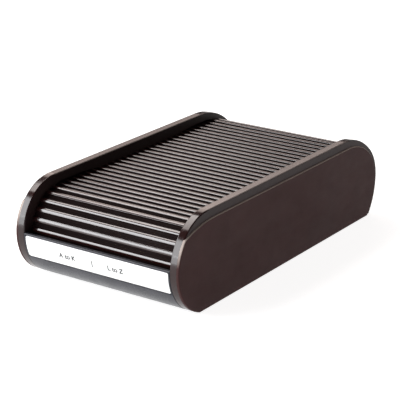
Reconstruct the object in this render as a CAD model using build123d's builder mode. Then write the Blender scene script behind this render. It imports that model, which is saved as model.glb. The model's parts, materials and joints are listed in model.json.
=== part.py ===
from build123d import *
import os
from math import atan2, cos, degrees, pi, radians, sin

# Roll-top desk card file: two side cheeks carry a tambour shutter that runs back over a tray of
# index cards. Millimetres, +X to the right, +Y to the rear, +Z up. The origin lies on the desk
# under the middle of the box. Side views are drawn as (y, z).

# ---- driving dimensions -------------------------------------------------------------------------
WIDTH = 130.0
LENGTH = 250.0
HEIGHT = 65.5
STAND = 0.6                     # the feet lift the case this far

# outline of a cheek: front nose circle, rear shoulder, back and heel arcs
NOSE_R = 33.3
SHOULDER_R = 58.0
SHOULDER_TURN = 47.5            # degrees above horizontal where shoulder meets back
BACK_R = 31.0
HEEL_R = 44.0
NOSE_Y = NOSE_R - LENGTH / 2
NOSE_Z = HEIGHT - NOSE_R
BACK_Y = LENGTH / 2 - BACK_R
BACK_Z = HEIGHT - SHOULDER_R + (SHOULDER_R - BACK_R) * sin(radians(SHOULDER_TURN))
HEEL_Y = LENGTH / 2 - HEEL_R

# side frames and the satin covers let into their outer faces
INNER_X = 58.0                  # inner face of a side frame
FRAME_X = 63.9                  # outer face of a side frame
POCKET_X = 63.0                 # floor of the pocket that takes the cover
RIM_FILLET = 0.7
COVER_TOP = 59.6
COVER_FRONT_R = 81.2
COVER_FRONT_Y = -86.0
COVER_INSET = 3.2               # from the back and heel arcs
COVER_GAP = 0.15
COVER_FILLET = 0.75
PEGS = [(-80.0, 20.0), (0.0, 46.0), (86.0, 26.0)]
PEG_R = 2.0
PEG_LENGTH = 1.6
PEG_GAP = 0.05

# shutter track: neutral line of the shutter, a flat top and two round ends
TRACK_Z = 57.6
FRONT_R = TRACK_Z - NOSE_Z
REAR_R = 26.5
REAR_Y = 90.4
REAR_Z = TRACK_Z - REAR_R
FLAT_LENGTH = REAR_Y - NOSE_Y
REAR_ARC = pi * REAR_R
GROOVE_DEPTH = 2.9
GROOVE_OUT = -0.3               # outer wall of the groove, from the neutral line
GROOVE_IN = -2.35               # inner wall along the straights
GROOVE_RELIEF = -4.4            # inner wall round the ends
GROOVE_RISE = 1.85              # outer wall where the slats tip over the start of a bend
GROOVE_LOW = 0.65               # outer wall along the lower run
GROOVE_FRONT_END = 20.0         # degrees below horizontal where the groove stops
GROOVE_REAR_END = -80.0         # y where the lower run stops
BEND = 12.0                     # degrees of each bend over which the outer wall starts to rise
RAMP = 14.0                     # length over which the inner wall changes
RISE_NEAR = 5.7                 # start and end of the risen stretch, from the tangent point
RISE_FAR = 27.0
RISE_END = 48.0

# slats
PITCH = 6.86
FIRST_S = -44.3                 # place of the leading bar along the track, 0 at the front tangent
RIB_TOP = 0.8
RIB_W = 3.7
RIB_FILLET = 0.6
NECK = -0.6
FLANGE_W = 6.1
FLANGE_BOTTOM_W = 5.4
TONGUE_W = 3.2
SLAT_BOTTOM = -2.0
RIB_X = 57.6
TONGUE_X = 60.6
GRIP_TOP = 3.2                  # finger rib on the leading bar
GRIP_W = 2.2
FRONT_SLATS = 6
TOP_SLATS = 20
REAR_SLATS = 6
BACK_SLATS = 6
LOWER_SLATS = 1

# fixed panels between the frames
PANEL_X = 57.9
PANEL_WALL = 2.7
FASCIA_TOP = 3.2                # degrees above horizontal
FASCIA_EDGE = 0.6               # round along the upper outer edge
LABEL_TOP = 1.7
LABEL_BOTTOM = -26.5
LABEL_POCKET = 0.5
LABEL_X = 57.2
LABEL_THICKNESS = 0.4
FLANGE_TOP = 3.8                # return flanges of the panels lie on the base plate
REAR_PANEL_TOP = 8.0
BASE_TOP = 2.2
BASE_X = 62.6
BASE_FRONT = -101.0
BASE_REAR = 113.5
BASE_GAP = 0.1

# tray
TRAY_X = 54.0
TRAY_WALL = 1.6
TRAY_FLOOR = 7.6
TRAY_FRONT = -100.0
TRAY_REAR = 86.0
TRAY_SIDE_TOP = 22.0
TRAY_FRONT_TOP = 26.0
TRAY_REAR_TOP = 36.0
RAIL_X = 28.0
RAIL_Z = 12.8
RAIL_R = 1.5

# screws: (y, z) of the screws that hold the frames to fascia, tray and rear panel
FASCIA_BOSS = (-111.8, 12.1)
TRAY_BOSSES = [(-60.0, 13.5), (60.0, 13.5)]
REAR_BOSS = (113.2, 9.2)
SCREW_R = 1.45
SCREW_HOLE_R = 1.5
SCREW_TIP_X = 52.6
HEAD_R = 2.7
HEAD_SEAT_X = 61.0
HEAD_HEIGHT = 1.7
BOSS_R = 3.0
BASE_SCREWS = [(60.7, -94.0), (60.7, 105.0)]
BASE_SCREW_TOP = 6.6
BASE_HEAD = 1.0
BASE_HEAD_R = 1.7
BASE_SCREW_R = 1.0

# feet
FEET = [(46.0, -84.0), (46.0, 96.0)]
FOOT_R = 6.0
FOOT_TOP = 1.4

# cards: standard 102 x 57 mm index cards, leaning back, notched over two rails
CARD_W = 102.0
CARD_H = 57.0
LEAN = 48.0
CARD_Z = 9.3
GROUPS = 9
GROUP_PITCH = 15.0
FIRST_CARD_Y = -89.0
PACK_RUN = 12.2                 # length of one pack along the tray
DIVIDER_RUN = 1.2
DIVIDER_GAP = 0.8
TAB_H = 3.2
TAB_W = 15.0
NOTCH_HALF = 2.3
NOTCH_TOP = 15.2

os.makedirs("parts", exist_ok=True)


def save(piece, name):
    """Label a finished piece and write it to its own file."""
    piece.part.label = name
    export_step(piece.part, f"parts/{name}.step")


def polar(centre, radius, angle):
    """Point at an angle in degrees round a centre."""
    return (centre[0] + radius * cos(radians(angle)), centre[1] + radius * sin(radians(angle)))


def drop(radius, centre_height, level):
    """Angle in degrees below horizontal at which a circle comes down to a level."""
    height = centre_height - level
    return degrees(atan2(height, (radius ** 2 - height ** 2) ** 0.5))


# ---- shared outlines ----------------------------------------------------------------------------
NOSE = (NOSE_Y, NOSE_Z)
BACK = (BACK_Y, BACK_Z)
HEEL = (HEEL_Y, BACK_Z)
SHOULDER = polar(BACK, BACK_R - SHOULDER_R, SHOULDER_TURN)
REAR = (REAR_Y, REAR_Z)


def cheek_outline():
    """Side view of a cheek, flat below and round at both ends."""
    front_drop = drop(NOSE_R, NOSE_Z, STAND)
    heel_drop = drop(HEEL_R, BACK_Z, STAND)
    with BuildSketch() as outline:
        with BuildLine():
            nose = CenterArc(NOSE, NOSE_R, 90, 90 + front_drop)
            shoulder = CenterArc(SHOULDER, SHOULDER_R, 90, SHOULDER_TURN - 90)
            CenterArc(BACK, BACK_R, SHOULDER_TURN, -SHOULDER_TURN)
            heel = CenterArc(HEEL, HEEL_R, 0, -heel_drop)
            Line(nose @ 0, shoulder @ 0)
            Line(nose @ 1, heel @ 1)
        make_face()
    return outline.sketch


def cover_region(gap):
    """Everything under the top and rear edge of the side cover, wider than the cheek elsewhere."""
    shoulder_r = (COVER_TOP - BACK_Z - (BACK_R - COVER_INSET) * sin(radians(SHOULDER_TURN)))
    shoulder_r = shoulder_r / (1 - sin(radians(SHOULDER_TURN)))
    back_r = BACK_R - COVER_INSET
    shoulder = polar(BACK, back_r - shoulder_r, SHOULDER_TURN)
    low = -5.0
    with BuildSketch() as region:
        with BuildLine():
            front = CenterArc((COVER_FRONT_Y, COVER_TOP - COVER_FRONT_R), COVER_FRONT_R + gap, 90, 26)
            top = CenterArc(shoulder, shoulder_r + gap, 90, SHOULDER_TURN - 90)
            CenterArc(BACK, back_r + gap, SHOULDER_TURN, -SHOULDER_TURN)
            heel = CenterArc(HEEL, HEEL_R - COVER_INSET + gap, 0, -45)
            Line(front @ 0, top @ 0)
            end = front @ 1
            tail = heel @ 1
            Polyline(tail, (tail.X, low), (-LENGTH / 2 - 5, low), (-LENGTH / 2 - 5, end.Y), end)
        make_face()
    return region.sketch


def groove_outline():
    """Side view of the channel in which the slats' ends run."""
    front_out = FRONT_R + GROOVE_OUT
    front_in = FRONT_R + GROOVE_RELIEF
    rear_out = REAR_R + GROOVE_OUT
    rear_in = REAR_R + GROOVE_RELIEF
    low_z = REAR_Z - REAR_R
    roof = TRACK_Z + GROOVE_OUT
    risen = TRACK_Z + GROOVE_RISE
    under = TRACK_Z + GROOVE_IN
    with BuildSketch() as groove:
        with BuildLine():
            nose_out = CenterArc(NOSE, front_out, 90 + BEND, 90 + GROOVE_FRONT_END - BEND)
            nose_in = CenterArc(NOSE, front_in, 90, 90 + GROOVE_FRONT_END)
            tail_out = CenterArc(REAR, rear_out, 90 - BEND, -180 + 2 * BEND)
            tail_in = CenterArc(REAR, rear_in, 90, -180)
            Polyline(
                nose_out @ 0,
                (NOSE_Y + RISE_NEAR, risen),
                (NOSE_Y + RISE_FAR, risen),
                (NOSE_Y + RISE_END, roof),
                (REAR_Y - RISE_END, roof),
                (REAR_Y - RISE_FAR, risen),
                (REAR_Y - RISE_NEAR, risen),
                tail_out @ 0,
            )
            Line(nose_out @ 1, nose_in @ 1)
            Polyline(nose_in @ 0, (NOSE_Y + RAMP, under), (REAR_Y - RAMP, under), tail_in @ 0)
            Polyline(
                tail_in @ 1,
                (REAR_Y - RAMP, low_z - GROOVE_IN),
                (GROOVE_REAR_END, low_z - GROOVE_IN),
                (GROOVE_REAR_END, low_z - GROOVE_LOW),
                (REAR_Y - 2.4, low_z - GROOVE_LOW),
                tail_out @ 1,
            )
        make_face()
    return groove.sketch


CHEEK = cheek_outline()
COVER_OPEN = cover_region(COVER_GAP)
COVER_EDGE = cover_region(0.0)
GROOVE = groove_outline()
FRAME_SCREWS = [FASCIA_BOSS] + TRAY_BOSSES + [REAR_BOSS]


# ---- cheeks -------------------------------------------------------------------------------------
def side_frame(side):
    """Moulded cheek: rim, cover pocket outside, shutter groove inside, screw and peg holes."""
    with BuildPart() as frame:
        with BuildSketch(Plane.YZ.offset(side * INNER_X)):
            add(CHEEK)
        extrude(amount=side * (FRAME_X - INNER_X))
        rims = frame.faces().filter_by(Axis.X).edges()
        fillet(rims, RIM_FILLET)
        with BuildSketch(Plane.YZ.offset(side * POCKET_X)):
            add(COVER_OPEN)
        extrude(amount=side * (FRAME_X - POCKET_X + 1), mode=Mode.SUBTRACT)
        with BuildSketch(Plane.YZ.offset(side * INNER_X)):
            add(GROOVE)
        extrude(amount=side * GROOVE_DEPTH, mode=Mode.SUBTRACT)
        with BuildSketch(Plane.YZ.offset(side * INNER_X)):
            with Locations(*FRAME_SCREWS):
                Circle(SCREW_HOLE_R)
        extrude(amount=side * (FRAME_X - INNER_X), mode=Mode.SUBTRACT)
        with BuildSketch(Plane.YZ.offset(side * HEAD_SEAT_X)):
            with Locations(*FRAME_SCREWS):
                Circle(HEAD_R + 0.2)
        extrude(amount=side * (FRAME_X - HEAD_SEAT_X), mode=Mode.SUBTRACT)
        with BuildSketch(Plane.YZ.offset(side * POCKET_X)):
            with Locations(*PEGS):
                Circle(PEG_R + PEG_GAP)
        extrude(amount=-side * (PEG_LENGTH + 0.2), mode=Mode.SUBTRACT)
        with BuildSketch(Plane.XY):
            with Locations((side * INNER_X, (BASE_FRONT + BASE_REAR) / 2)):
                Rectangle(2 * (BASE_X - INNER_X + BASE_GAP), BASE_REAR - BASE_FRONT + 2 * BASE_GAP)
        extrude(amount=BASE_TOP, mode=Mode.SUBTRACT)
        with BuildSketch(Plane.XY):
            with Locations(*[(side * x, y) for x, y in BASE_SCREWS]):
                Circle(BASE_SCREW_R + 0.05)
        extrude(amount=BASE_SCREW_TOP + 0.3, mode=Mode.SUBTRACT)
    return frame


def side_cover(side):
    """Satin plate that snaps over the screw heads; its edge stands proud of the frame."""
    with BuildPart() as cover:
        with BuildSketch(Plane.YZ.offset(side * POCKET_X)):
            add(CHEEK)
            add(COVER_EDGE, mode=Mode.INTERSECT)
        extrude(amount=side * (WIDTH / 2 - POCKET_X))
        outside = cover.faces().filter_by(Axis.X).sort_by(Axis.X)[-1 if side > 0 else 0]
        fillet(outside.edges(), COVER_FILLET)
        with BuildSketch(Plane.YZ.offset(side * POCKET_X)):
            with Locations(*PEGS):
                Circle(PEG_R)
        extrude(amount=-side * PEG_LENGTH)
    return cover


def frame_screws(side):
    """Four pan-head screws through one side frame."""
    with BuildPart() as screws:
        with BuildSketch(Plane.YZ.offset(side * SCREW_TIP_X)):
            with Locations(*FRAME_SCREWS):
                Circle(SCREW_R)
        extrude(amount=side * (HEAD_SEAT_X - SCREW_TIP_X))
        with BuildSketch(Plane.YZ.offset(side * HEAD_SEAT_X)):
            with Locations(*FRAME_SCREWS):
                Circle(HEAD_R)
        extrude(amount=side * HEAD_HEIGHT)
        with BuildSketch(Plane.YZ.offset(side * (HEAD_SEAT_X + HEAD_HEIGHT))):
            with Locations(*FRAME_SCREWS):
                Rectangle(2.8, 0.7)
                Rectangle(0.7, 2.8)
        extrude(amount=-side * 1.0, mode=Mode.SUBTRACT)
    return screws


for side, word in ((1, "right"), (-1, "left")):
    save(side_frame(side), f"side_frame_{word}")
    save(side_cover(side), f"side_cover_{word}")
    save(frame_screws(side), f"frame_screws_{word}")


# ---- base, feet and base screws -------------------------------------------------------------------
base_places = [(s * x, y) for s in (1, -1) for x, y in BASE_SCREWS]
foot_places = [(s * x, y) for s in (1, -1) for x, y in FEET]

with BuildPart() as base_plate:
    with BuildSketch(Plane.XY.offset(STAND)):
        with Locations((0, (BASE_FRONT + BASE_REAR) / 2)):
            RectangleRounded(2 * BASE_X, BASE_REAR - BASE_FRONT, 1.0)
    extrude(amount=BASE_TOP - STAND)
    with BuildSketch(Plane.XY.offset(STAND)):
        with Locations(*foot_places):
            Circle(FOOT_R)
    extrude(amount=FOOT_TOP - STAND, mode=Mode.SUBTRACT)
    with BuildSketch(Plane.XY.offset(STAND)):
        with Locations(*base_places):
            Circle(BASE_SCREW_R + 0.05)
    extrude(amount=BASE_TOP - STAND, mode=Mode.SUBTRACT)
    with BuildSketch(Plane.XY.offset(STAND)):
        with Locations(*base_places):
            Circle(BASE_HEAD_R + 0.1)
    extrude(amount=BASE_HEAD, mode=Mode.SUBTRACT)
save(base_plate, "base_plate")

with BuildPart() as rubber_feet:
    with BuildSketch(Plane.XY):
        with Locations(*foot_places):
            Circle(FOOT_R)
    extrude(amount=FOOT_TOP)
    fillet(rubber_feet.faces().filter_by(Axis.Z).sort_by(Axis.Z)[:4].edges(), 0.3)
save(rubber_feet, "rubber_feet")

with BuildPart() as base_screws:
    with BuildSketch(Plane.XY.offset(STAND + 0.1)):
        with Locations(*base_places):
            Circle(BASE_HEAD_R)
    extrude(amount=BASE_HEAD - 0.1)
    with BuildSketch(Plane.XY.offset(STAND + BASE_HEAD)):
        with Locations(*base_places):
            Circle(BASE_SCREW_R)
    extrude(amount=BASE_SCREW_TOP - STAND - BASE_HEAD)
    with BuildSketch(Plane.XY.offset(STAND + 0.1)):
        with Locations(*base_places):
            Rectangle(2.4, 0.5)
    extrude(amount=0.5, mode=Mode.SUBTRACT)
save(base_screws, "base_screws")


# ---- front fascia with its label --------------------------------------------------------------------
def nose_band(outer_r, inner_r, top, bottom):
    """Side view of a curved strip round the front nose, between two angles in degrees."""
    with BuildSketch() as band:
        with BuildLine():
            outer = CenterArc(NOSE, outer_r, 180 - top, top - bottom)
            inner = CenterArc(NOSE, inner_r, 180 - top, top - bottom)
            Line(outer @ 0, inner @ 0)
            Line(outer @ 1, inner @ 1)
        make_face()
    return band.sketch


FASCIA_BOTTOM = -drop(NOSE_R, NOSE_Z, BASE_TOP)
FASCIA_SHAPE = nose_band(NOSE_R, NOSE_R - PANEL_WALL, FASCIA_TOP, FASCIA_BOTTOM)
LABEL_SPACE = nose_band(NOSE_R + 1, NOSE_R - LABEL_POCKET, LABEL_TOP, LABEL_BOTTOM)
LABEL_SHAPE = nose_band(
    NOSE_R - LABEL_POCKET + LABEL_THICKNESS, NOSE_R - LABEL_POCKET, LABEL_TOP - 0.2, LABEL_BOTTOM + 0.2
)

with BuildPart() as front_fascia:
    with BuildSketch(Plane.YZ.offset(-PANEL_X)):
        add(FASCIA_SHAPE)
        lip = polar(NOSE, NOSE_R, 180 - FASCIA_BOTTOM)
        with Locations((lip[0] + 0.6, BASE_TOP)):
            Rectangle(9.0, FLANGE_TOP - BASE_TOP, align=(Align.MIN, Align.MIN))
    extrude(amount=2 * PANEL_X)
    with BuildSketch(Plane.YZ.offset(-LABEL_X)):
        add(LABEL_SPACE)
    extrude(amount=2 * LABEL_X, mode=Mode.SUBTRACT)
    fillet(front_fascia.edges().filter_by(Axis.X).sort_by(Axis.Z)[-2:].sort_by(Axis.Y)[0], FASCIA_EDGE)
    for start in (-PANEL_X, SCREW_TIP_X - 2):
        with BuildSketch(Plane.YZ.offset(start)):
            with Locations(FASCIA_BOSS):
                Circle(BOSS_R)
        extrude(amount=PANEL_X - SCREW_TIP_X + 2)
    for start in (-PANEL_X, SCREW_TIP_X - 1):
        with BuildSketch(Plane.YZ.offset(start)):
            with Locations(FASCIA_BOSS):
                Circle(SCREW_HOLE_R)
        extrude(amount=PANEL_X - SCREW_TIP_X + 1, mode=Mode.SUBTRACT)
save(front_fascia, "front_fascia")

with BuildPart() as label_card:
    with BuildSketch(Plane.YZ.offset(-LABEL_X + 0.1)):
        add(LABEL_SHAPE)
    extrude(amount=2 * (LABEL_X - 0.1))
save(label_card, "label_card")


# ---- rear panel -------------------------------------------------------------------------------------
with BuildPart() as rear_panel:
    heel_drop = drop(HEEL_R, BACK_Z, BASE_TOP)
    with BuildSketch(Plane.YZ.offset(-PANEL_X)):
        with BuildLine():
            back_out = CenterArc(BACK, BACK_R, REAR_PANEL_TOP, -REAR_PANEL_TOP)
            heel_out = CenterArc(HEEL, HEEL_R, 0, -heel_drop)
            back_in = CenterArc(BACK, BACK_R - PANEL_WALL, REAR_PANEL_TOP, -REAR_PANEL_TOP)
            heel_in = CenterArc(HEEL, HEEL_R - PANEL_WALL, 0, -heel_drop)
            Line(back_out @ 0, back_in @ 0)
            Line(heel_out @ 1, heel_in @ 1)
        make_face()
        with Locations(((heel_out @ 1).X, (heel_out @ 1).Y)):
            Rectangle(13.0, FLANGE_TOP - BASE_TOP, align=(Align.MAX, Align.MIN))
    extrude(amount=2 * PANEL_X)
    for start in (-PANEL_X, SCREW_TIP_X - 2):
        with BuildSketch(Plane.YZ.offset(start)):
            with Locations(REAR_BOSS):
                Circle(BOSS_R)
                Rectangle(BOSS_R, 6.2, align=(Align.CENTER, Align.MAX))
        extrude(amount=PANEL_X - SCREW_TIP_X + 2)
    for start in (-PANEL_X, SCREW_TIP_X - 1):
        with BuildSketch(Plane.YZ.offset(start)):
            with Locations(REAR_BOSS):
                Circle(SCREW_HOLE_R)
        extrude(amount=PANEL_X - SCREW_TIP_X + 1, mode=Mode.SUBTRACT)
save(rear_panel, "rear_panel")


# ---- card tray, rails and back rest -------------------------------------------------------------------
TRAY_MIDDLE = (TRAY_FRONT + TRAY_REAR) / 2
TRAY_LENGTH = TRAY_REAR - TRAY_FRONT
REST_Y = FIRST_CARD_Y + GROUPS * GROUP_PITCH + 1.5
REST_RUN = 2.6
REST_H = 54.0


def leaning(base_y, run, height, base_z=CARD_Z):
    """Side view of something that leans back with a level foot and a level top."""
    top_y = height * cos(radians(LEAN))
    top_z = base_z + height * sin(radians(LEAN))
    with BuildSketch() as shape:
        with BuildLine():
            Polyline(
                (base_y, base_z),
                (base_y + run, base_z),
                (base_y + run + top_y, top_z),
                (base_y + top_y, top_z),
                close=True,
            )
        make_face()
    return shape.sketch


with BuildPart() as card_tray:
    with BuildSketch(Plane.XY.offset(TRAY_FLOOR)):
        with Locations((0, TRAY_MIDDLE)):
            Rectangle(2 * TRAY_X, TRAY_LENGTH)
    extrude(amount=TRAY_WALL)
    for x in (-TRAY_X, TRAY_X - TRAY_WALL):
        with BuildSketch(Plane.XY.offset(TRAY_FLOOR)):
            with Locations((x, TRAY_MIDDLE)):
                Rectangle(TRAY_WALL, TRAY_LENGTH, align=(Align.MIN, Align.CENTER))
        extrude(amount=TRAY_SIDE_TOP - TRAY_FLOOR)
    for y, top in ((TRAY_FRONT, TRAY_FRONT_TOP), (TRAY_REAR - TRAY_WALL, TRAY_REAR_TOP)):
        with BuildSketch(Plane.XY.offset(TRAY_FLOOR)):
            with Locations((0, y)):
                Rectangle(2 * TRAY_X, TRAY_WALL, align=(Align.CENTER, Align.MIN))
        extrude(amount=top - TRAY_FLOOR)
    for start in (-PANEL_X, TRAY_X - TRAY_WALL):
        with BuildSketch(Plane.YZ.offset(start)):
            with Locations(*TRAY_BOSSES):
                Circle(BOSS_R + 0.5)
        extrude(amount=PANEL_X - TRAY_X + TRAY_WALL)
    for start in (-PANEL_X, SCREW_TIP_X - 0.1):
        with BuildSketch(Plane.YZ.offset(start)):
            with Locations(*TRAY_BOSSES):
                Circle(SCREW_HOLE_R)
        extrude(amount=PANEL_X - SCREW_TIP_X + 0.1, mode=Mode.SUBTRACT)
    with BuildSketch(Plane.XZ.offset(-TRAY_REAR)):
        with Locations((RAIL_X, RAIL_Z), (-RAIL_X, RAIL_Z)):
            Circle(RAIL_R + 0.03)
    extrude(amount=TRAY_LENGTH, mode=Mode.SUBTRACT)
save(card_tray, "card_tray")

with BuildPart() as card_rails:
    with BuildSketch(Plane.XZ.offset(-TRAY_REAR - 0.8)):
        with Locations((RAIL_X, RAIL_Z), (-RAIL_X, RAIL_Z)):
            Circle(RAIL_R)
    extrude(amount=TRAY_LENGTH + 1.6)
save(card_rails, "card_rails")

with BuildPart() as back_rest:
    with BuildSketch(Plane.YZ.offset(-CARD_W / 2)):
        add(leaning(REST_Y, REST_RUN, REST_H, TRAY_FLOOR + TRAY_WALL))
    extrude(amount=CARD_W)
    with BuildSketch(Plane.XZ.offset(-REST_Y)):
        with Locations((RAIL_X, RAIL_Z), (-RAIL_X, RAIL_Z)):
            Circle(RAIL_R + 0.1)
    extrude(amount=-10, both=True, mode=Mode.SUBTRACT)
save(back_rest, "back_rest")


# ---- cards and dividers -------------------------------------------------------------------------------
def rail_notches():
    """Two slots across the foot of every card, for the rails."""
    with BuildPart() as notches:
        with BuildSketch(Plane.XY.offset(CARD_Z - 1)):
            with Locations((RAIL_X, TRAY_MIDDLE), (-RAIL_X, TRAY_MIDDLE)):
                Rectangle(2 * NOTCH_HALF, TRAY_LENGTH)
        extrude(amount=NOTCH_TOP - CARD_Z + 1)
    return notches.part


NOTCHES = rail_notches()
group_starts = [FIRST_CARD_Y + GROUP_PITCH * i for i in range(GROUPS)]

with BuildPart() as index_dividers:
    for i, start in enumerate(group_starts):
        with BuildSketch(Plane.YZ.offset(-CARD_W / 2)):
            add(leaning(start, DIVIDER_RUN, CARD_H))
        extrude(amount=CARD_W)
        tab_x = -CARD_W / 2 + 1 + (i % 6) * (TAB_W + 2)
        with BuildSketch(Plane.YZ.offset(tab_x)):
            add(leaning(start, DIVIDER_RUN, CARD_H + TAB_H))
        extrude(amount=TAB_W)
    add(NOTCHES, mode=Mode.SUBTRACT)
save(index_dividers, "index_dividers")

with BuildPart() as index_cards:
    for start in group_starts:
        with BuildSketch(Plane.YZ.offset(-CARD_W / 2)):
            add(leaning(start + DIVIDER_RUN + DIVIDER_GAP, PACK_RUN, CARD_H))
        extrude(amount=CARD_W)
    add(NOTCHES, mode=Mode.SUBTRACT)
save(index_cards, "index_cards")


# ---- shutter ------------------------------------------------------------------------------------------
def track(s):
    """Point (y, z) and slope in degrees of the shutter's neutral line, s mm from the front tangent."""
    if s < 0:
        turn = degrees(s / FRONT_R)
        return polar(NOSE, FRONT_R, 90 - turn), -turn
    if s <= FLAT_LENGTH:
        return (NOSE_Y + s, TRACK_Z), 0.0
    turn = degrees((s - FLAT_LENGTH) / REAR_R)
    return polar(REAR, REAR_R, 90 - turn), -turn


def slat_plane(index, x):
    """Plane across slat number index: local x along the track, local y outwards."""
    (y, z), slope = track(FIRST_S + PITCH * index)
    along = (0, cos(radians(slope)), sin(radians(slope)))
    return Plane(origin=(x, y, z), x_dir=along, z_dir=(1, 0, 0))


def slat_flange():
    """Section of the wide web under the rib."""
    with BuildSketch() as flange:
        with BuildLine():
            Polyline(
                (-FLANGE_W / 2, NECK),
                (-FLANGE_BOTTOM_W / 2, SLAT_BOTTOM),
                (FLANGE_BOTTOM_W / 2, SLAT_BOTTOM),
                (FLANGE_W / 2, NECK),
                close=True,
            )
        make_face()
    return flange.sketch


def slat_tongue():
    """Section of the narrow ends that run in the grooves."""
    with BuildSketch() as tongue:
        with Locations((0, SLAT_BOTTOM)):
            Rectangle(TONGUE_W, NECK - SLAT_BOTTOM, align=(Align.CENTER, Align.MIN))
    return tongue.sketch


def slat_rib(width, top):
    """Section of the rib that shows between the side frames, rounded along its upper edges."""
    with BuildSketch() as rib:
        with Locations((0, NECK - 0.2)):
            Rectangle(width, top - NECK + 0.2, align=(Align.CENTER, Align.MIN))
        fillet(rib.vertices().group_by(Axis.Y)[-1], RIB_FILLET)
    return rib.sketch


FLANGE = slat_flange()
TONGUE = slat_tongue()
RIB = slat_rib(RIB_W, RIB_TOP)
GRIP = slat_rib(GRIP_W, GRIP_TOP)


def slats(first, count, grip=False):
    """A row of neighbouring slats, each its own solid."""
    with BuildPart() as row:
        for index in range(first, first + count):
            with BuildSketch(slat_plane(index, -TONGUE_X)):
                add(TONGUE)
            extrude(amount=2 * TONGUE_X)
            with BuildSketch(slat_plane(index, -RIB_X)):
                add(FLANGE)
                add(RIB)
                if grip:
                    add(GRIP)
            extrude(amount=2 * RIB_X)
    return row


save(slats(0, 1, grip=True), "leading_bar")
first = 1
for number in range(1, FRONT_SLATS + 1):
    save(slats(first, 1), f"front_slat_{number:02d}")
    first += 1
save(slats(first, TOP_SLATS), "top_slats")
first += TOP_SLATS
for number in range(1, REAR_SLATS + 1):
    save(slats(first, 1), f"rear_slat_{number:02d}")
    first += 1
save(slats(first, BACK_SLATS), "back_slats")
first += BACK_SLATS
save(slats(first, LOWER_SLATS), "lower_slat")
first += LOWER_SLATS
save(slats(first, 1), "tail_bar")
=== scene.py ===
import json
import math
import random

import bmesh
import bpy
from mathutils import Matrix, Vector

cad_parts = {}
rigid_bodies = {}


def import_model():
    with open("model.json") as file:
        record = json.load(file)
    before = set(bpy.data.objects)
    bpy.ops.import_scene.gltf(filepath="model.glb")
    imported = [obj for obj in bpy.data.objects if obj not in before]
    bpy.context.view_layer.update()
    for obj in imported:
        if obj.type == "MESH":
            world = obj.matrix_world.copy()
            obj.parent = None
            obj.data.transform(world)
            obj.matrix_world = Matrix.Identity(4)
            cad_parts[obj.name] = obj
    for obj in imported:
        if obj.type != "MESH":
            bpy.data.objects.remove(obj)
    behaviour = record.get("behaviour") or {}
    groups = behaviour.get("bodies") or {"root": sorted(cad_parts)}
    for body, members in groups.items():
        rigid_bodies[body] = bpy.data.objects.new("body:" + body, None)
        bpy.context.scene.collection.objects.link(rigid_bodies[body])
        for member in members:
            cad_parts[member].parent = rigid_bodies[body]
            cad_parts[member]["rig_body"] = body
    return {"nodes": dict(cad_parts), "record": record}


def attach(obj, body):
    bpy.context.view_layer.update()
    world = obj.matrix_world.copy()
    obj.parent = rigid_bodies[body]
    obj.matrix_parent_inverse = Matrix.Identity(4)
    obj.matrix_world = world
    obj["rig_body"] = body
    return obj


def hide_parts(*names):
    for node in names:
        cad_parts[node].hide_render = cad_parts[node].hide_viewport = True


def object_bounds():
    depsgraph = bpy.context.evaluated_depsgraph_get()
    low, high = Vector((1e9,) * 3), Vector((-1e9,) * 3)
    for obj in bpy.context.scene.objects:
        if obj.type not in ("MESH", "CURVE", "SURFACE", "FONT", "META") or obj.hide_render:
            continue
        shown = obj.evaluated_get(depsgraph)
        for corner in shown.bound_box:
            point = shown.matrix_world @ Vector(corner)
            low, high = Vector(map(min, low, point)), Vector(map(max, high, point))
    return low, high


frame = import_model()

CAD_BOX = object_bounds()
MM = 0.001
random.seed(7)

# ---- places taken from the frame ------------------------------------------------------------------
NODES = frame["nodes"]
LOW, HIGH = (Vector(corner) for corner in CAD_BOX)
NOSE_R = 33.3 * MM               # outer radius of the round front
NOSE_Y = LOW.y + NOSE_R
NOSE_Z = HIGH.z - NOSE_R
TRACK_Z = 57.6 * MM              # neutral line of the shutter along the flat top
FRONT_R = TRACK_Z - NOSE_Z
REAR_R = 26.5 * MM
REAR_Y = 90.4 * MM
REAR_Z = TRACK_Z - REAR_R
PITCH = 6.86 * MM                # from slat to slat
FIRST_S = -44.3 * MM             # place of the leading bar along the track


# ---- camera and light ------------------------------------------------------------------------------
CAMERA_YAW = 34.74                         # degrees to the right of the front
CAMERA_PITCH = 19.54                       # degrees above the floor
CAMERA_TARGET = Vector((0, 0, 29.77 * MM))
CAMERA_DISTANCE = 1.0589
CAMERA_RIGHT = -5.06 * MM                  # sideways step that frames the object
CAMERA_UP = 2.17 * MM
CAMERA_LENS = 138.07

WARM = (1, 0.83, 0.76)
SOFT_WARM = (1, 0.93, 0.9)
COOL = (0.96, 0.98, 1)
SOFT_BOXES = [                             # name, place, aim, size, radiance, tint
    ("key_box", (-0.72, -0.72, 0.54), (0, -0.08, 0.03), (0.95, 0.6), 9.5, COOL),
    ("low_front_box", (-0.62, -0.98, 0.15), (0, -0.1, 0.03), (0.9, 0.28), 7.5, COOL),
    ("rear_upper_box", (-1.0, 1.2, 0.93), (0, -0.06, 0.06), (1.1, 0.5), 2.6, WARM),
    ("rear_lower_box", (-0.8, 1.2, 0.56), (0, 0.06, 0.06), (1.0, 0.28), 1.15, WARM),
    ("overhead_box", (-0.66, 0.08, 1.06), (0, -0.08, 0.06), (0.8, 0.36), 7.5, SOFT_WARM),
    ("rear_right_box", (0.52, 1.2, 0.86), (0.06, 0, 0.06), (0.6, 0.5), 3.5, WARM),
]
WORLD_TINT = (1, 0.95, 0.93, 1)
WORLD_STRENGTH = 0.12
FLOOR_REACH = 12.0
FLOOR_Z = -0.05 * MM                       # just clear of the rubber feet


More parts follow.
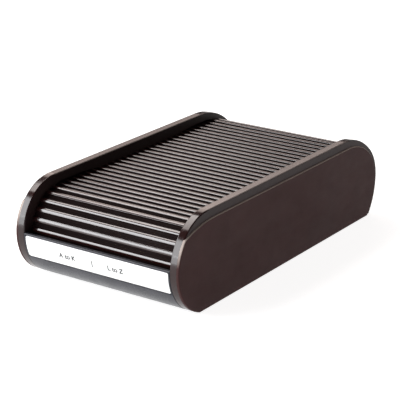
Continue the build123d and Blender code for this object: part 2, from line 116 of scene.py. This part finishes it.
def camera():
    """A long lens, a metre away, looking down on the front right corner."""
    yaw = math.radians(CAMERA_YAW)
    pitch = math.radians(CAMERA_PITCH)
    back = Vector((math.sin(yaw) * math.cos(pitch), -math.cos(yaw) * math.cos(pitch), math.sin(pitch)))
    right = Vector((math.cos(yaw), math.sin(yaw), 0))
    up = back.cross(right)
    place = CAMERA_TARGET + CAMERA_DISTANCE * back + CAMERA_RIGHT * right + CAMERA_UP * up
    data = bpy.data.cameras.new("camera")
    data.sensor_width = 36
    data.lens = CAMERA_LENS
    data.clip_start = 0.05
    seen = bpy.data.objects.new("camera", data)
    turn = Matrix((right, up, back)).transposed().to_4x4()
    seen.matrix_world = Matrix.Translation(place) @ turn
    bpy.context.scene.collection.objects.link(seen)
    bpy.context.scene.camera = seen


def area_light(name, place, aim, size, radiance, tint):
    """A rectangular soft box that points at a place; its power follows from its brightness and size."""
    data = bpy.data.lights.new(name, "AREA")
    data.shape = "RECTANGLE"
    data.size, data.size_y = size
    data.energy = radiance * math.pi * size[0] * size[1]
    data.color = tint
    box = bpy.data.objects.new(name, data)
    box.location = place
    box.rotation_euler = (Vector(aim) - Vector(place)).to_track_quat("-Z", "Y").to_euler()
    bpy.context.scene.collection.objects.link(box)


def studio():
    """Soft boxes in front, above and behind, a faint surround and a white floor."""
    world = bpy.data.worlds.new("studio")
    world.use_nodes = True
    surround = world.node_tree.nodes["Background"]
    surround.inputs["Color"].default_value = WORLD_TINT
    surround.inputs["Strength"].default_value = WORLD_STRENGTH
    bpy.context.scene.world = world
    for box in SOFT_BOXES:
        area_light(*box)
    floor = bpy.data.meshes.new("floor")
    corners = [(-1, -1), (1, -1), (1, 1), (-1, 1)]
    points = [(FLOOR_REACH * x, FLOOR_REACH * y, FLOOR_Z) for x, y in corners]
    floor.from_pydata(points, [], [(0, 1, 2, 3)])
    ground = bpy.data.objects.new("floor", floor)
    ground.data.materials.append(plain_floor())
    bpy.context.scene.collection.objects.link(ground)
    bpy.context.scene.view_settings.view_transform = "Standard"


# ---- material tools ---------------------------------------------------------------------------------
class Paint:
    """Short way to build one procedural material."""

    def __init__(self, name):
        self.material = bpy.data.materials.new(name)
        self.material.use_nodes = True
        self.tree = self.material.node_tree
        self.shader = self.tree.nodes["Principled BSDF"]
        self.where = self.tree.nodes.new("ShaderNodeTexCoord").outputs["Object"]

    def node(self, kind, **values):
        made = self.tree.nodes.new(kind)
        for key, value in values.items():
            if key in made.inputs:
                made.inputs[key].default_value = value
            else:
                setattr(made, key, value)
        return made

    def link(self, start, end):
        self.tree.links.new(start, end)

    def noise(self, scale, detail=3.0, rough=0.5, stretch=(1, 1, 1)):
        """Noise in object space, in cycles per metre."""
        placed = self.node("ShaderNodeMapping", Scale=stretch)
        self.link(self.where, placed.inputs["Vector"])
        made = self.node("ShaderNodeTexNoise", Scale=scale, Detail=detail, Roughness=rough)
        self.link(placed.outputs["Vector"], made.inputs["Vector"])
        return made.outputs["Fac"]

    def height(self):
        """Height above the floor in metres."""
        parts = self.node("ShaderNodeSeparateXYZ")
        self.link(self.where, parts.inputs["Vector"])
        return parts.outputs["Z"]

    def facing(self, axis):
        """Part of the surface's own direction along an axis, from -1 to 1."""
        parts = self.node("ShaderNodeSeparateXYZ")
        self.link(self.where.node.outputs["Normal"], parts.inputs["Vector"])
        return parts.outputs[axis]

    def sideways(self):
        """How squarely a surface looks to the left or right, from 0 to 1."""
        size = self.node("ShaderNodeMath", operation="ABSOLUTE")
        self.link(self.facing("X"), size.inputs[0])
        return size.outputs[0]

    def ramp(self, source, low, high, start=0.3, end=0.7):
        """Two-colour ramp over a source."""
        made = self.node("ShaderNodeValToRGB")
        made.color_ramp.elements[0].position = start
        made.color_ramp.elements[1].position = end
        made.color_ramp.elements[0].color = (*low, 1)
        made.color_ramp.elements[1].color = (*high, 1)
        self.link(source, made.inputs["Fac"])
        return made.outputs["Color"]

    def span(self, source, low, high, start=0.3, end=0.7):
        """A source from start to end, spread between two values."""
        made = self.node("ShaderNodeMapRange")
        made.inputs["From Min"].default_value = start
        made.inputs["From Max"].default_value = end
        made.inputs["To Min"].default_value = low
        made.inputs["To Max"].default_value = high
        self.link(source, made.inputs["Value"])
        return made.outputs["Result"]

    def times(self, one, other):
        made = self.node("ShaderNodeMath", operation="MULTIPLY")
        self.link(one, made.inputs[0])
        self.link(other, made.inputs[1])
        return made.outputs[0]

    def larger(self, one, other):
        made = self.node("ShaderNodeMath", operation="MAXIMUM")
        self.link(one, made.inputs[0])
        self.link(other, made.inputs[1])
        return made.outputs[0]

    def mix(self, factor, under, over):
        """Colour over colour; over is a plain colour."""
        made = self.node("ShaderNodeMixRGB")
        made.inputs["Color2"].default_value = (*over, 1)
        self.link(factor, made.inputs["Fac"])
        self.link(under, made.inputs["Color1"])
        return made.outputs["Color"]

    def bump(self, source, depth, before=None):
        """Bump of a real depth in metres."""
        made = self.node("ShaderNodeBump")
        made.inputs["Distance"].default_value = depth
        made.inputs["Strength"].default_value = 1.0
        self.link(source, made.inputs["Height"])
        if before is not None:
            self.link(before, made.inputs["Normal"])
        self.link(made.outputs["Normal"], self.shader.inputs["Normal"])
        return made.outputs["Normal"]

    def colour(self, source):
        self.link(source, self.shader.inputs["Base Color"])

    def rough(self, source):
        self.link(source, self.shader.inputs["Roughness"])

    def set(self, name, value):
        self.shader.inputs[name].default_value = value


# depths of the surface detail
ORANGE_PEEL = 0.003 * MM
SCRATCH = 0.0012 * MM
GRAIN = 0.02 * MM
LABEL_FIBRE = 0.004 * MM
CARD_FIBRE = 0.02 * MM
BRUSH_LINE = 0.006 * MM
RUBBER_GRAIN = 0.03 * MM
DUST = 3.2                       # how much paler than the plastic the scuffs at the foot are


def plain_floor():
    """Pale sweep, lit a little from below so that shadows on it stay faint."""
    paint = Paint("pale_floor")
    paint.colour(paint.ramp(paint.noise(3), (0.5, 0.5, 0.5), (0.52, 0.52, 0.52)))
    paint.set("Roughness", 0.9)
    paint.set("Specular IOR Level", 0.1)
    paint.set("Emission Color", (1, 1, 1, 1))
    paint.set("Emission Strength", 0.86)
    return paint.material


def moulded_gloss(name, low, high, rough_low, rough_high, level, matt_sides=False):
    """Glossy moulded styrene: faint flow marks, fine handling scratches and a hint of orange peel."""
    paint = Paint(name)
    paint.colour(paint.ramp(paint.noise(60, 4), low, high))
    smears = paint.noise(130, 5, 0.65, (1, 0.35, 1))
    shine = paint.span(smears, rough_low, rough_high)
    if matt_sides:
        shine = paint.larger(shine, paint.span(paint.sideways(), 0.0, 0.62, 0.85, 0.98))
    paint.rough(shine)
    paint.set("Specular IOR Level", level)
    wide = paint.bump(paint.noise(700, 2), ORANGE_PEEL)
    scratches = paint.noise(2400, 2, 0.5, (1, 0.06, 1))
    paint.bump(scratches, SCRATCH, wide)
    return paint.material


def moulded_satin(name, low, high, rough_low, rough_high, level, painted_edge_highlight=None):
    """Satin moulded plastic: grain, faint rubs, scuffs along the foot and, if a painted edge highlight
    colour is given, paler upper edges as a painted highlight.
    """
    paint = Paint(name)
    tone = paint.ramp(paint.noise(45, 5, 0.6), low, high)
    near_foot = paint.span(paint.height(), 0.55, 0.0, 1 * MM, 5 * MM)
    scuffs = paint.times(near_foot, paint.span(paint.noise(420, 5, 0.7), 0.0, 1.0, 0.52, 0.66))
    tone = paint.mix(scuffs, tone, [DUST * c for c in high])
    # Paler colour on rounded, upward-facing edges is a painted highlight that stands in for a glint along
    # the top edge.
    if painted_edge_highlight:
        rounded = paint.span(paint.sideways(), 1.0, 0.0, 0.8, 0.97)
        upward = paint.span(paint.facing("Z"), 0.0, 1.0, 0.15, 0.45)
        tone = paint.mix(paint.times(rounded, upward), tone, painted_edge_highlight)
    paint.colour(tone)
    paint.rough(paint.span(paint.noise(70, 5, 0.7, (1, 0.4, 1)), rough_low, rough_high))
    paint.set("Specular IOR Level", level)
    cells = paint.node("ShaderNodeTexVoronoi", Scale=1900.0)
    paint.link(paint.where, cells.inputs["Vector"])
    base = paint.bump(cells.outputs["Distance"], GRAIN)
    paint.bump(paint.noise(1500, 3), GRAIN / 2, base)
    return paint.material


def paper(name, low, high, fibre):
    """Card stock: mottled tone and short fibres."""
    paint = Paint(name)
    paint.colour(paint.ramp(paint.noise(220, 6, 0.7), low, high))
    paint.set("Roughness", 0.75)
    paint.set("Specular IOR Level", 0.25)
    fibres = paint.bump(paint.noise(1400, 5, 0.7, (1, 0.25, 1)), fibre)
    paint.bump(paint.noise(350, 3), fibre, fibres)
    return paint.material


def brushed(name, tone, stretch):
    """Drawn or turned steel with fine lines along one direction."""
    paint = Paint(name)
    lines = paint.noise(2600, 3, 0.6, stretch)
    paint.colour(paint.ramp(lines, [0.82 * t for t in tone], tone))
    paint.rough(paint.span(lines, 0.2, 0.38))
    paint.bump(lines, BRUSH_LINE)
    paint.set("Metallic", 1.0)
    return paint.material


def soft_rubber():
    paint = Paint("foot_rubber")
    paint.colour(paint.ramp(paint.noise(500, 4), (0.012, 0.012, 0.012), (0.03, 0.03, 0.03)))
    paint.set("Roughness", 0.8)
    paint.bump(paint.noise(1800, 4), RUBBER_GRAIN)
    return paint.material


def ink():
    """Grey printing ink, a little uneven."""
    paint = Paint("grey_ink")
    paint.colour(paint.ramp(paint.noise(1500, 4), (0.015, 0.015, 0.017), (0.04, 0.04, 0.043)))
    paint.set("Roughness", 0.6)
    return paint.material


MATERIALS = {
    "gloss_brown": moulded_gloss("gloss_brown", (0.010, 0.0018, 0.0016), (0.014, 0.0028, 0.0024),
                                 0.10, 0.19, 0.42, matt_sides=True),
    "slat_brown": moulded_gloss("slat_brown", (0.012, 0.0027, 0.0025), (0.019, 0.0046, 0.0042),
                                0.10, 0.18, 0.8),
    # The satin cover's paler upper edges are a painted highlight.
    "satin_brown": moulded_satin("satin_brown", (0.036, 0.0150, 0.0145), (0.046, 0.0200, 0.0195),
                                 0.5, 0.62, 0.08, painted_edge_highlight=(0.36, 0.3, 0.27)),
    # Fascia grey-brown, made paler and bluer than the plastic's own tone as a painted reflection of the pale
    # floor on its lip.
    "fascia_brown": moulded_gloss("fascia_brown", (0.018, 0.018, 0.024), (0.03, 0.03, 0.038),
                                  0.22, 0.34, 0.25),
    "black_plastic": moulded_satin("black_plastic", (0.012, 0.010, 0.010), (0.02, 0.017, 0.017),
                                   0.5, 0.62, 0.25),
    "screw_steel": brushed("screw_steel", (0.55, 0.55, 0.57), (1, 1, 1)),
    "rail_steel": brushed("rail_steel", (0.62, 0.62, 0.63), (1, 0.03, 1)),
    "foot_rubber": soft_rubber(),
    "label_paper": paper("label_paper", (0.72, 0.72, 0.71), (0.78, 0.78, 0.77), LABEL_FIBRE),
    "divider_card": paper("divider_card", (0.62, 0.47, 0.25), (0.72, 0.56, 0.32), CARD_FIBRE),
    "white_card": paper("white_card", (0.8, 0.79, 0.74), (0.88, 0.87, 0.83), CARD_FIBRE),
}
INK = ink()
# Matt web under the slat crowns: its colour, darker than the slat plastic, is painted shade in the valleys
# between the crowns.
PAINTED_SHADE_WEB = moulded_satin("slat_web_painted_shade", (0.004, 0.0014, 0.0012), (0.007, 0.0024, 0.0022),
                    0.6, 0.75, 0.05)


def dress_frame():
    """Every CAD node gets the detailed material of its slot."""
    slots = {s["node"]: s["material_slot"] for s in frame["record"]["subparts"]}
    for name, node in NODES.items():
        for place in node.material_slots:
            place.material = MATERIALS[slots[name]]
        for face in node.data.polygons:
            face.use_smooth = True


# ---- mesh tools --------------------------------------------------------------------------------------
def add_piece(name, mesh, body, slot, material=None, smooth_angle=None):
    """Link a finished mesh, give it its finish and let it ride on a body."""
    piece = bpy.data.objects.new(name, mesh)
    bpy.context.scene.collection.objects.link(piece)
    mesh.materials.append(material or MATERIALS[slot])
    if smooth_angle is not None:
        mesh.shade_smooth()
        mesh.set_sharp_from_angle(angle=math.radians(smooth_angle))
    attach(piece, body)
    return piece


def prism(bm, rings, second=()):
    """Closed solid through matching rings of points; the listed sides take the second material."""
    made = [[bm.verts.new(point) for point in ring] for ring in rings]
    count = len(made[0])
    for near, far in zip(made, made[1:]):
        for i in range(count):
            j = (i + 1) % count
            face = bm.faces.new((near[i], near[j], far[j], far[i]))
            face.material_index = 1 if i in second else 0
    bm.faces.new(made[0][::-1])
    bm.faces.new(made[-1])


def finished_mesh(bm, name):
    bmesh.ops.recalc_face_normals(bm, faces=bm.faces)
    mesh = bpy.data.meshes.new(name)
    bm.to_mesh(mesh)
    bm.free()
    return mesh


# ---- shutter slats ------------------------------------------------------------------------------------
def track(s):
    """Point (y, z) and slope of the shutter's neutral line, s metres from the front tangent."""
    flat = REAR_Y - NOSE_Y
    if s < 0:
        turn = s / FRONT_R
        return (NOSE_Y + FRONT_R * math.sin(turn), NOSE_Z + FRONT_R * math.cos(turn)), -turn
    if s <= flat:
        return (NOSE_Y + s, TRACK_Z), 0.0
    turn = (s - flat) / REAR_R
    return (REAR_Y + REAR_R * math.sin(turn), REAR_Z + REAR_R * math.cos(turn)), -turn


def arc(centre, radius, start, end, steps):
    """Points (u, w) along an arc, angles in degrees."""
    turns = [math.radians(start + (end - start) * i / steps) for i in range(steps + 1)]
    return [(centre[0] + radius * math.cos(t), centre[1] + radius * math.sin(t)) for t in turns]


CROWN_TOP = 0.8                  # mm above the neutral line
CROWN_R = 2.7


def half_slat():
    """Right half of a slat's section in mm, from the crown down to the middle of its underside."""
    crown = arc((0.0, CROWN_TOP - CROWN_R), CROWN_R, 90, 62, 7)
    edge = arc((1.16, 0.19), 0.34, 55, 4, 4)
    foot = [(1.6, -0.35)] + arc((1.82, -0.4), 0.2, 180, 270, 3)
    lip = [(2.95, -0.66), (3.24, -0.74), (3.26, -1.02), (2.98, -1.1)]
    under = [(2.72, -1.85), (2.55, -2.0), (1.2, -2.0), (0.9, -1.8), (0.0, -1.8)]
    return crown + edge + foot + lip + under


def half_grip():
    """Right half of the finger rib of the leading bar."""
    crown = [(0.0, 3.2), (0.35, 3.17)]
    edge = arc((0.55, 2.65), 0.5, 76, 0, 5)
    return crown + edge + [(1.0, 1.9), (1.1, 1.0), (1.1, 0.1), (0.0, 0.1)]


def whole(half):
    """Mirror a half section about its middle."""
    return half + [(-u, w) for u, w in half[-2:0:-1]]


WEB_TOP = -0.3                   # mm; faces below it are the matt web, whose darker colour is painted shade in the valleys
CROWN_HALF = 1.2                 # mm; points nearer the middle keep their place at a bar's end
SLAT_REACH = 57.6                # mm from the middle to a slat's end
TONGUE_REACH = 60.6              # tongues run in the grooves of the side frames
GRIP_REACH = 57.4
SLAT = whole(half_slat())
GRIP = whole(half_grip())
TONGUE = [(-1.6, -0.75), (-1.45, -0.6), (1.45, -0.6), (1.6, -0.75), (1.6, -1.85), (1.45, -2.0),
          (-1.45, -2.0), (-1.6, -1.85)]


def place_section(section, index, x, shrink=0.0):
    """Points of one section at slat number index and at x; the shrink in mm draws it in for a soft end."""
    (y, z), slope = track(FIRST_S + PITCH * index)
    along = Vector((0, math.cos(slope), math.sin(slope)))
    out = Vector((0, -math.sin(slope), math.cos(slope)))
    middle = sum(w for _, w in section) / len(section)
    points = []
    for u, w in section:
        reach = max(abs(u), 0.001)
        narrow = u * (1 - min(shrink / reach, 1) * (reach > CROWN_HALF))
        lower = w - shrink * (1 if w > middle else -1)
        points.append(Vector((x, y, z)) + MM * (narrow * along + lower * out))
    return points


def bar(bm, section, index, half_length, end=0.25):
    """One extrusion across the case with softened ends; half_length and end in mm."""
    stops = [(-half_length, end), (-half_length + end, 0), (half_length - end, 0), (half_length, end)]
    web = [i for i, (_, w) in enumerate(section) if w < WEB_TOP]
    prism(bm, [place_section(section, index, x * MM, shrink) for x, shrink in stops], web)


def slat_piece(node, first, count):
    """Slats that stand for one CAD node; the leading bar also gets its finger rib."""
    bm = bmesh.new()
    for index in range(first, first + count):
        bar(bm, SLAT, index, SLAT_REACH)
        bar(bm, TONGUE, index, TONGUE_REACH)
        if index == 0:
            bar(bm, GRIP, index, GRIP_REACH)
    piece = add_piece(f"{node}_moulding", finished_mesh(bm, node), NODES[node]["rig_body"], "slat_brown",
                      smooth_angle=40)
    piece.data.materials.append(PAINTED_SHADE_WEB)
    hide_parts(node)


def shutter():
    rows = [("leading_bar", 1)] + [(f"front_slat_{i:02d}", 1) for i in range(1, 7)] + [("top_slats", 20)]
    rows += [(f"rear_slat_{i:02d}", 1) for i in range(1, 7)]
    rows += [("back_slats", 6), ("lower_slat", 1), ("tail_bar", 1)]
    first = 0
    for node, count in rows:
        slat_piece(node, first, count)
        first += count


# ---- label and its print ----------------------------------------------------------------------------------
def on_nose(x, radius, turn):
    """Point on a cylinder about the nose axis, turned up from the front in radians."""
    return Vector((x, NOSE_Y - radius * math.cos(turn), NOSE_Z + radius * math.sin(turn)))


LABEL_TOP = 0.8                  # degrees above the nose's foremost line
LABEL_BOTTOM = -25.3
LABEL_R = 33.2                   # mm, outer face of the paper
LABEL_BACK_R = 32.84
LABEL_HALF = 56.7
LABEL_CORNER = 1.2
LABEL_STEPS = 40
PRINT_RISE = 0.03 * MM           # print stands proud of the paper
PRINT_THICK = 0.01 * MM


def label_strip():
    """Curved paper strip with rounded corners, a little shorter than its pocket."""
    bm = bmesh.new()
    rings = []
    for step in range(LABEL_STEPS + 1):
        share = (1 - math.cos(math.pi * step / LABEL_STEPS)) / 2
        turn = LABEL_TOP + (LABEL_BOTTOM - LABEL_TOP) * share
        to_edge = min(LABEL_TOP - turn, turn - LABEL_BOTTOM) * math.radians(LABEL_R)
        cut = LABEL_CORNER - math.sqrt(LABEL_CORNER ** 2 - max(LABEL_CORNER - to_edge, 0) ** 2)
        reach = LABEL_HALF - cut
        ring = [(-reach, LABEL_R), (reach, LABEL_R), (reach, LABEL_BACK_R), (-reach, LABEL_BACK_R)]
        rings.append([on_nose(x * MM, radius * MM, math.radians(turn)) for x, radius in ring])
    prism(bm, rings)
    piece = add_piece("label_strip", finished_mesh(bm, "label_strip"), "case", "label_paper",
                      smooth_angle=40)
    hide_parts("label_card")


def letters(words, size, name, weight=0.0):
    """Flat outline lettering as a thin mesh, centred on the origin, x to the right and y up."""
    text = bpy.data.curves.new(name, "FONT")
    text.body = words
    text.size = size
    text.align_x = "CENTER"
    text.align_y = "CENTER"
    text.extrude = PRINT_THICK
    text.offset = weight
    text.resolution_u = 4
    holder = bpy.data.objects.new(name, text)
    bpy.context.scene.collection.objects.link(holder)
    bpy.context.view_layer.update()
    mesh = bpy.data.meshes.new_from_object(holder)
    bpy.data.objects.remove(holder)
    return mesh


def wrap_on_label(bm, x, middle):
    """Bend flat print round the nose so that it lies on the label; the middle is in degrees."""
    radius = LABEL_R * MM
    for level in range(-6, 7):
        geometry = bm.verts[:] + bm.edges[:] + bm.faces[:]
        bmesh.ops.bisect_plane(bm, geom=geometry, plane_co=(0, 0.5 * MM * level, 0), plane_no=(0, 1, 0))
    for vert in bm.verts:
        turn = math.radians(middle) + vert.co.y / radius
        vert.co = on_nose(x + vert.co.x, radius + PRINT_RISE + vert.co.z, turn)


def label_print():
    """Two index ranges and a thin upright bar between them."""
    letter_size, letter_weight, letter_row = 4.8 * MM, 0.16 * MM, -12.5
    ranges = [("label_range_1", "A to K", -23 * MM), ("label_range_2", "L to Z", 15.5 * MM)]
    for name, words, x in ranges:
        bm = bmesh.new()
        bm.from_mesh(letters(words, letter_size, name, letter_weight))
        wrap_on_label(bm, x, letter_row)
        mesh = bpy.data.meshes.new(name)
        bm.to_mesh(mesh)
        bm.free()
        add_piece(name, mesh, "case", "label_paper", INK)
    bm = bmesh.new()
    half, reach, thin, bar_x, bar_row = 0.35 * MM, 2.4 * MM, PRINT_THICK, -3 * MM, -13
    outline = [(-half, -reach), (half, -reach), (half, reach), (-half, reach)]
    prism(bm, [[(u, v, w) for u, v in outline] for w in (-thin, thin)])
    wrap_on_label(bm, bar_x, bar_row)
    add_piece("label_bar", finished_mesh(bm, "label_bar"), "case", "label_paper", INK)


# ---- cards and dividers -----------------------------------------------------------------------------------
CARD_W = 102.0                   # this section is in mm up to on_card
CARD_H = 57.0
CARD_HALF_THICK = 0.13
DIVIDER_HALF_THICK = 0.28
RAIL_X = 28.0
TRAY_FLOOR = 9.3
LEAN = math.radians(48)          # of the cards, above horizontal
GROUPS = 9
GROUP_PITCH = 15.0


def card_outline(corner, tab=None):
    """Card seen flat in mm, x across and h up the card, with two foot slots for the rails."""
    slot_half, slot_h = 2.4, 8.0
    half = CARD_W / 2
    points = [(-half, 0)]
    for x in (-RAIL_X, RAIL_X):
        points += [(x - slot_half, 0), (x - slot_half, slot_h - 1)]
        points += [(x - slot_half + 1, slot_h), (x + slot_half - 1, slot_h)]
        points += [(x + slot_half, slot_h - 1), (x + slot_half, 0)]
    points += [(half, 0)]
    points += arc((half - corner, CARD_H - corner), corner, 0, 90, 4)
    if tab is not None:
        start, end, rise = tab
        points += [(end + 0.8, CARD_H)] + arc((end - 1, CARD_H + rise - 1), 1, 10, 90, 3)
        points += arc((start + 1, CARD_H + rise - 1), 1, 90, 170, 3) + [(start - 0.8, CARD_H)]
    points += arc((corner - half, CARD_H - corner), corner, 90, 180, 4)
    return points


def on_card(x, h, base_y, depth):
    """World place of a point on a leaning card; depth in mm is measured square to the card, to the rear."""
    y = base_y + h * math.cos(LEAN) + depth * math.sin(LEAN)
    z = TRAY_FLOOR + h * math.sin(LEAN) - depth * math.cos(LEAN)
    return Vector((x, y, z)) * MM


def card_stack():
    """Nine packs of single cards behind their dividers."""
    first_y, run, per_pack = -87.0, 12.2, 24
    step = run / per_pack
    bm = bmesh.new()
    for group in range(GROUPS):
        for number in range(per_pack):
            base_y = first_y + GROUP_PITCH * group + step * (number + 0.5)
            x_shift = random.uniform(-0.35, 0.35)
            h_shift = random.uniform(-0.9, 0.0)
            outline = card_outline(random.choice((0.6, 0.9, 1.2)))
            front, back = [], []
            for x, h in outline:
                height = h + (h_shift if h > CARD_H / 2 else 0)
                front.append(on_card(x + x_shift * 0.9, height, base_y, -CARD_HALF_THICK))
                back.append(on_card(x + x_shift * 0.9, height, base_y, CARD_HALF_THICK))
            prism(bm, [front, back])
    piece = add_piece("card_packs", finished_mesh(bm, "card_packs"), "case", "white_card")
    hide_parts("index_cards")


def dividers():
    """Tabbed dividers with an index range on each tab."""
    ranges = ["A B", "C D", "E F", "G H", "I J K", "L M", "N O P", "Q R S", "T to Z"]
    first_y, tab_w, tab_h, tab_letter, thick = -88.4, 15.0, 3.1, 3.0 * MM, DIVIDER_HALF_THICK
    bm = bmesh.new()
    for group, words in enumerate(ranges):
        start = -CARD_W / 2 + 1 + (group % 6) * (tab_w + 2)
        base_y = first_y + GROUP_PITCH * group
        outline = card_outline(1.5, (start + 0.8, start + tab_w - 0.8, tab_h))
        prism(bm, [[on_card(x, h, base_y, depth) for x, h in outline] for depth in (-thick, thick)])
        name = f"tab_range_{group + 1}"
        mesh = letters(words, tab_letter, name)
        for vert in mesh.vertices:
            x = start + tab_w / 2 + vert.co.x / MM
            h = CARD_H + tab_h / 2 - 0.4 + vert.co.y / MM
            vert.co = on_card(x, h, base_y, -thick - 0.02 - vert.co.z / MM)
        add_piece(name, mesh, "case", "divider_card", INK)
    piece = add_piece("tabbed_dividers", finished_mesh(bm, "tabbed_dividers"), "case", "divider_card")
    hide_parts("index_dividers")


camera()
studio()
dress_frame()
shutter()
label_strip()
label_print()
card_stack()
dividers()
